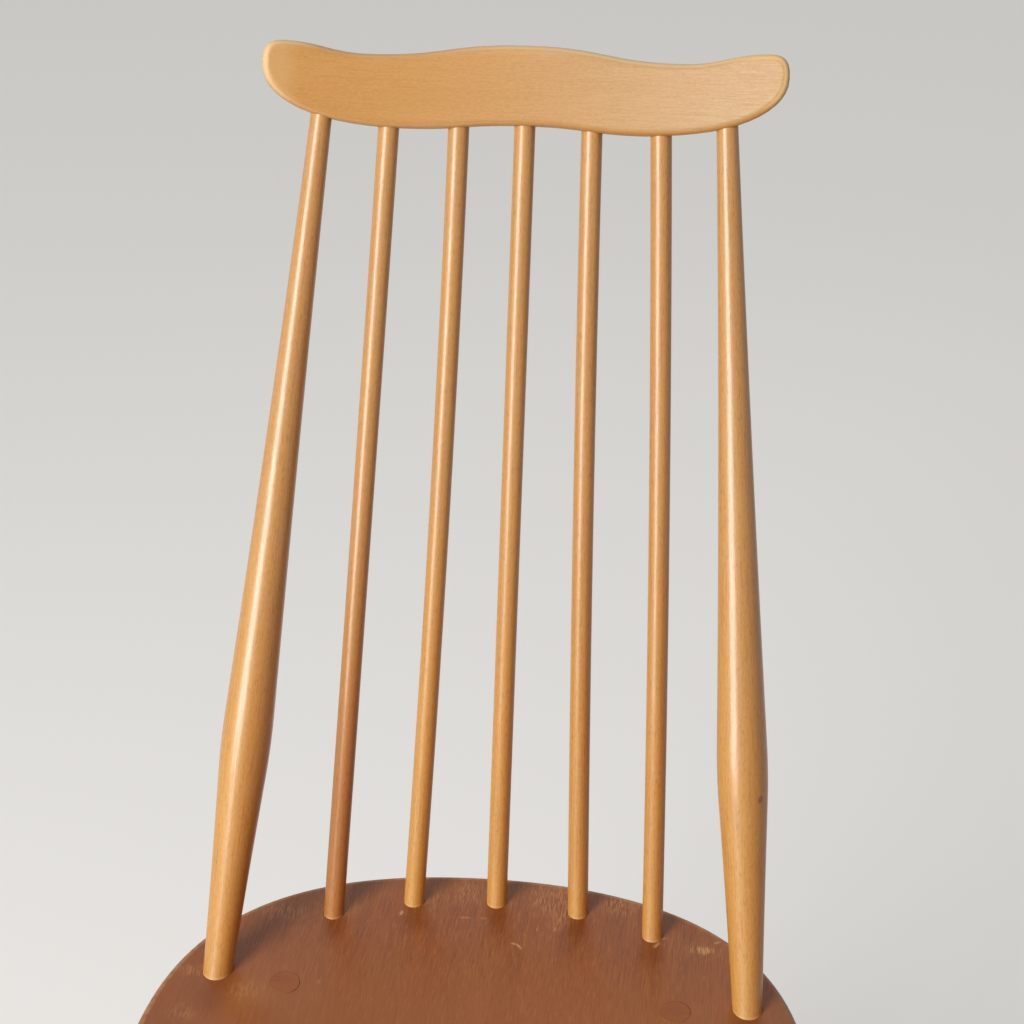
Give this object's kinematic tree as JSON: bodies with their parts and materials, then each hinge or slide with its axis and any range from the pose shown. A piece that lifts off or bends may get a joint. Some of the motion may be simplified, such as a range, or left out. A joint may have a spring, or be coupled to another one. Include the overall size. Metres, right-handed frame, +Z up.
{
  "type": "windsor chair",
  "caption": "Tall stick-backed Windsor side chair with a wavy top rail, swelling outer posts, slender spindles, a shaped plank seat, splayed turned legs and stretchers joined in an H.",
  "frame": {"origin": "on the floor, at the middle of the chair's overall width and depth", "axes": "+Z up; the sitter faces -Y and the back leans towards +Y; +X to the right as seen from the front"},
  "size_m": [0.447, 0.5892, 1.0065],
  "materials": {
    "rail_beech": "satin",
    "stick_beech": "satin",
    "leg_beech": "satin",
    "seat_elm": "satin",
    "wedge_wood": "satin"
  },
  "bodies": {
    "root": {"seat": "seat_elm", "crest_rail": "rail_beech", "post_left": "stick_beech", "post_right": "stick_beech", "spindle_1": "stick_beech", "spindle_2": "stick_beech", "spindle_3": "stick_beech", "spindle_4": "stick_beech", "spindle_5": "stick_beech", "leg_front_left": "leg_beech", "leg_front_right": "leg_beech", "leg_rear_left": "leg_beech", "leg_rear_right": "leg_beech", "stretcher_left": "leg_beech", "stretcher_right": "leg_beech", "stretcher_cross": "leg_beech", "leg_wedge_front_left": "wedge_wood", "leg_wedge_front_right": "wedge_wood", "leg_wedge_rear_left": "wedge_wood", "leg_wedge_rear_right": "wedge_wood", "post_wedge_left": "wedge_wood", "post_wedge_right": "wedge_wood"}
  },
  "joints": []
}
